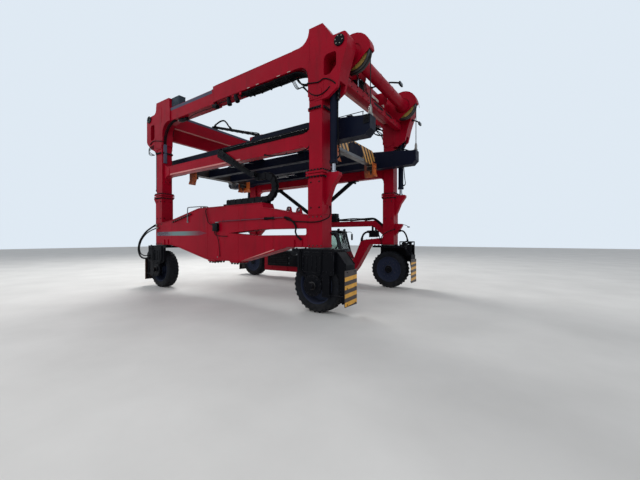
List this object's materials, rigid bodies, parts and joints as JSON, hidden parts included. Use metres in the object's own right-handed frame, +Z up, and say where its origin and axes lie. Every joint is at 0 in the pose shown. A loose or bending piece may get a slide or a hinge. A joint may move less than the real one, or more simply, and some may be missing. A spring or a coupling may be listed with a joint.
{
  "type": "container straddle carrier",
  "caption": "Mobile container handler: a frame on telescopic legs that straddles a container, with a rope hoist, a spreader and four steered wheels.",
  "frame": {"origin": "on the ground, in the middle between the four wheels", "axes": "+X to the front, +Y to the left, +Z up"},
  "size_m": [8.48, 4.999, 6.24],
  "materials": {
    "red_paint": "gloss",
    "dark_paint": "satin",
    "chrome": "polished",
    "tyre": "matte",
    "glass": "gloss",
    "stripe_paint": "satin",
    "orange_paint": "satin",
    "rope_steel": "satin",
    "grey_paint": "satin",
    "seat_cover": "matte"
  },
  "bodies": {
    "chassis": {"right_side_beam": "red_paint", "left_side_beam": "red_paint", "left_drop_frame": "red_paint", "leg_sleeves": "red_paint", "slew_rings": "dark_paint", "lift_rods": "chrome", "chain_tray": "dark_paint", "energy_chain": "dark_paint", "power_pack": "dark_paint", "cab_shell": "red_paint", "cab_glass": "glass", "cab_seat": "seat_cover"},
    "upper_frame": {"inner_legs": "red_paint", "front_head_beams": "red_paint", "rear_head_beams": "red_paint", "end_girders": "red_paint", "mid_beams": "red_paint", "hose_tray": "dark_paint", "v_brace": "dark_paint", "chain_arm": "dark_paint", "lift_barrels": "dark_paint", "sheave_guards": "red_paint", "hoist_ropes": "rope_steel", "lamps": "grey_paint"},
    "spreader": {"lift_beam_right": "dark_paint", "lift_beam_left": "dark_paint", "rope_sockets": "chrome", "spreader_ends": "stripe_paint", "spreader_beams": "dark_paint", "cross_beams": "dark_paint", "twist_locks": "dark_paint", "corner_guides": "orange_paint", "hose_arm": "dark_paint", "side_shift": "dark_paint", "lock_drive": "grey_paint"},
    "hoist_front": {"hoist_tube_front": "red_paint"},
    "hoist_rear": {"hoist_tube_rear": "red_paint"},
    "cab_door": {"cab_door": "red_paint", "door_glass": "glass"},
    "steer_front_right": {"yoke_front_right": "dark_paint", "hazard_board_front_right": "stripe_paint"},
    "wheel_front_right": {"tyre_front_right": "tyre", "wheel_front_right": "dark_paint"},
    "steer_rear_right": {"yoke_rear_right": "dark_paint", "hazard_board_rear_right": "stripe_paint"},
    "wheel_rear_right": {"tyre_rear_right": "tyre", "wheel_rear_right": "dark_paint"},
    "steer_front_left": {"yoke_front_left": "dark_paint", "hazard_board_front_left": "stripe_paint"},
    "wheel_front_left": {"tyre_front_left": "tyre", "wheel_front_left": "dark_paint"},
    "steer_rear_left": {"yoke_rear_left": "dark_paint", "hazard_board_rear_left": "stripe_paint"},
    "wheel_rear_left": {"tyre_rear_left": "tyre", "wheel_rear_left": "dark_paint"}
  },
  "joints": [
    {"name": "leg_lift", "type": "slide", "parent": "chassis", "child": "upper_frame", "axis": [0, 0, 1], "range_m": [0, 1.2], "deforming": ["energy_chain"]},
    {"name": "hoist", "type": "slide", "parent": "upper_frame", "child": "spreader", "axis": [0, 0, 1], "range_m": [-2.1, 0.5], "deforming": ["hoist_ropes"]},
    {"name": "hoist_tube_front_turn", "type": "hinge", "parent": "upper_frame", "child": "hoist_front", "pos_m": [3.8, 0, 5.72], "axis": [0, 1, 0], "range_deg": [-74, 309]},
    {"name": "hoist_tube_rear_turn", "type": "hinge", "parent": "upper_frame", "child": "hoist_rear", "pos_m": [-3.8, 0, 5.72], "axis": [0, 1, 0], "range_deg": [-309, 74]},
    {"name": "cab_door_swing", "type": "hinge", "parent": "chassis", "child": "cab_door", "pos_m": [0.518, 2.4855, 1.2], "axis": [0, 0, 1], "range_deg": [0, 100]},
    {"name": "steer_front_right", "type": "hinge", "parent": "chassis", "child": "steer_front_right", "pos_m": [3.19, -2.1, 1.4], "axis": [0, 0, 1], "range_deg": [-45, 45]},
    {"name": "steer_rear_right", "type": "hinge", "parent": "chassis", "child": "steer_rear_right", "pos_m": [-3.19, -2.1, 1.4], "axis": [0, 0, 1], "range_deg": [-45, 45]},
    {"name": "steer_front_left", "type": "hinge", "parent": "chassis", "child": "steer_front_left", "pos_m": [3.19, 2.1, 1.4], "axis": [0, 0, 1], "range_deg": [-45, 45]},
    {"name": "steer_rear_left", "type": "hinge", "parent": "chassis", "child": "steer_rear_left", "pos_m": [-3.19, 2.1, 1.4], "axis": [0, 0, 1], "range_deg": [-45, 45]},
    {"name": "spin_front_right", "type": "hinge", "parent": "steer_front_right", "child": "wheel_front_right", "pos_m": [3.19, -2.1, 0.61], "axis": [0, 1, 0], "continuous": true},
    {"name": "spin_rear_right", "type": "hinge", "parent": "steer_rear_right", "child": "wheel_rear_right", "pos_m": [-3.19, -2.1, 0.61], "axis": [0, 1, 0], "continuous": true},
    {"name": "spin_front_left", "type": "hinge", "parent": "steer_front_left", "child": "wheel_front_left", "pos_m": [3.19, 2.1, 0.61], "axis": [0, 1, 0], "continuous": true},
    {"name": "spin_rear_left", "type": "hinge", "parent": "steer_rear_left", "child": "wheel_rear_left", "pos_m": [-3.19, 2.1, 0.61], "axis": [0, 1, 0], "continuous": true}
  ],
  "couplings": [
    {"joint": "hoist_tube_front_turn", "follows": "hoist", "rad_per_m": -2.5641},
    {"joint": "hoist_tube_rear_turn", "follows": "hoist", "rad_per_m": 2.5641}
  ]
}
